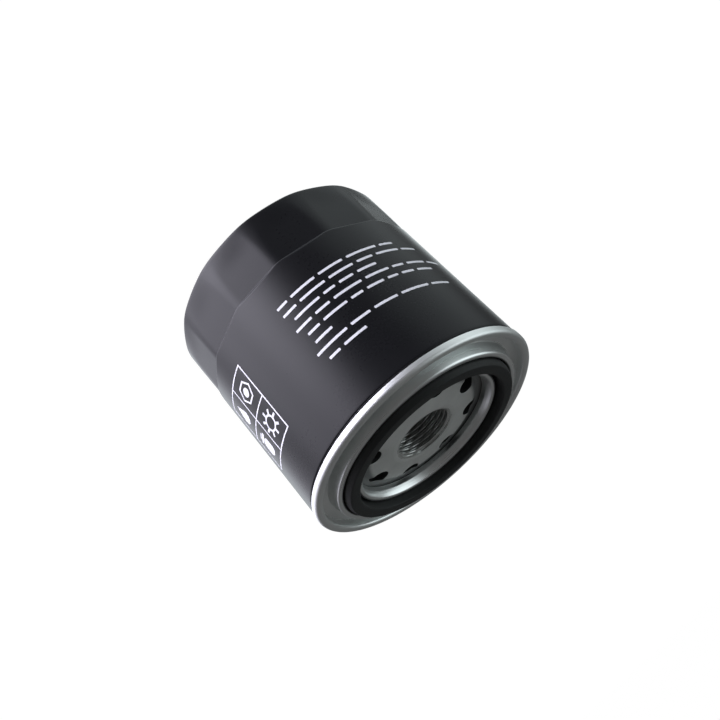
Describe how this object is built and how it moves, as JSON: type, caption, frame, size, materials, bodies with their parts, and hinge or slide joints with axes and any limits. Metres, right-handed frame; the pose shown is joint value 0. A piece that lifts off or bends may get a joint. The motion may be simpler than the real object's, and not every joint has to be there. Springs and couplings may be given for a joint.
{
  "type": "spin-on oil filter",
  "caption": "Black spin-on engine oil filter with a flatted can, rolled zinc seam, threaded mounting plate, square-cut gasket and a full internal element with valves.",
  "frame": {"origin": "centre of the closed end's resting plane, on the can's axis", "axes": "+Z along the can's axis from the closed end to the gasket end; the printed side faces -Y; +X to the right when the printed side faces the viewer"},
  "size_m": [0.0808, 0.0808, 0.0773],
  "materials": {
    "can_paint": "satin black enamel",
    "zinc_plate": "bright zinc plate",
    "plain_steel": "matte phosphated steel",
    "black_rubber": "satin",
    "valve_rubber": "matte",
    "tin_plate": "tin plate",
    "spring_steel": "drawn wire",
    "filter_paper": "resin-treated paper",
    "resin": "cured plastisol",
    "compound": "seaming compound"
  },
  "bodies": {
    "casing": {"can": "can_paint", "seaming_lid": "zinc_plate", "seam_sealant": "compound", "base_plate": "plain_steel", "mounting_gasket": "black_rubber", "drainback_valve_hub": "valve_rubber", "element_spring": "spring_steel"},
    "element": {"top_end_cap": "tin_plate", "bottom_end_cap": "tin_plate", "upper_potting": "resin", "lower_potting": "resin", "pleated_media": "filter_paper", "media_seam_clip": "tin_plate", "centre_tube": "tin_plate", "bypass_seat": "tin_plate", "bypass_cage": "tin_plate", "bypass_spring": "spring_steel", "spring_seat": "tin_plate"},
    "bypass_poppet": {"bypass_disc": "tin_plate", "bypass_seal": "black_rubber"},
    "drainback_lip": {"drainback_valve_lip": "valve_rubber"}
  },
  "joints": [
    {"name": "element_float", "type": "slide", "parent": "casing", "child": "element", "axis": [0, 0, -1], "range_m": [0, 0.0012], "stiffness_N_per_m": 9000, "springref_m": -0.006, "deforming": ["element_spring"]},
    {"name": "bypass_lift", "type": "slide", "parent": "element", "child": "bypass_poppet", "axis": [0, 0, 1], "range_m": [0, 0.003], "stiffness_N_per_m": 1800, "springref_m": -0.0095, "deforming": ["bypass_spring"]},
    {"name": "drainback_lift", "type": "slide", "parent": "casing", "child": "drainback_lip", "axis": [0, 0, -1], "range_m": [0, 0.0018], "stiffness_N_per_m": 300, "springref_m": -0.001}
  ]
}
